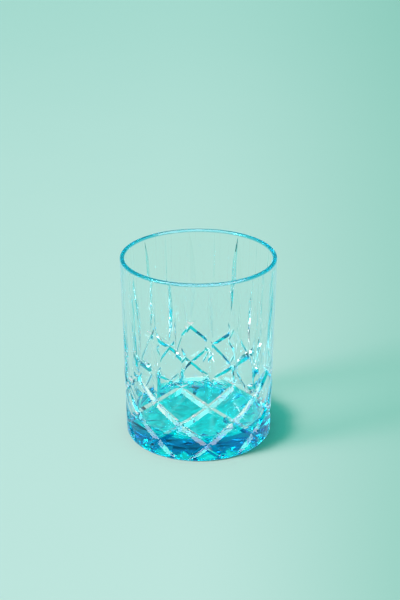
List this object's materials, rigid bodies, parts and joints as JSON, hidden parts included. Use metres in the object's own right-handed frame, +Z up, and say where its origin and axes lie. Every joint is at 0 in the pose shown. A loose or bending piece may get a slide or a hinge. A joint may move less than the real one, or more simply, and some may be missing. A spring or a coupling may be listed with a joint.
{
  "type": "whisky tumbler",
  "caption": "Low cut-glass tumbler for spirits: a clear, slightly flared bowl with a diamond lattice and upright wedge cuts, joined to a thick aqua glass foot.",
  "frame": {"origin": "centre of the plane the foot stands on, on the tumbler's axis", "axes": "+Z up along the tumbler's axis, -Y towards the front"},
  "size_m": [0.0794, 0.0794, 0.098],
  "materials": {
    "clear_glass": "fire-polished, colourless",
    "aqua_glass": "polished, aqua through the whole foot"
  },
  "bodies": {
    "root": {"clear_bowl": "clear_glass", "aqua_foot": "aqua_glass"}
  },
  "joints": []
}
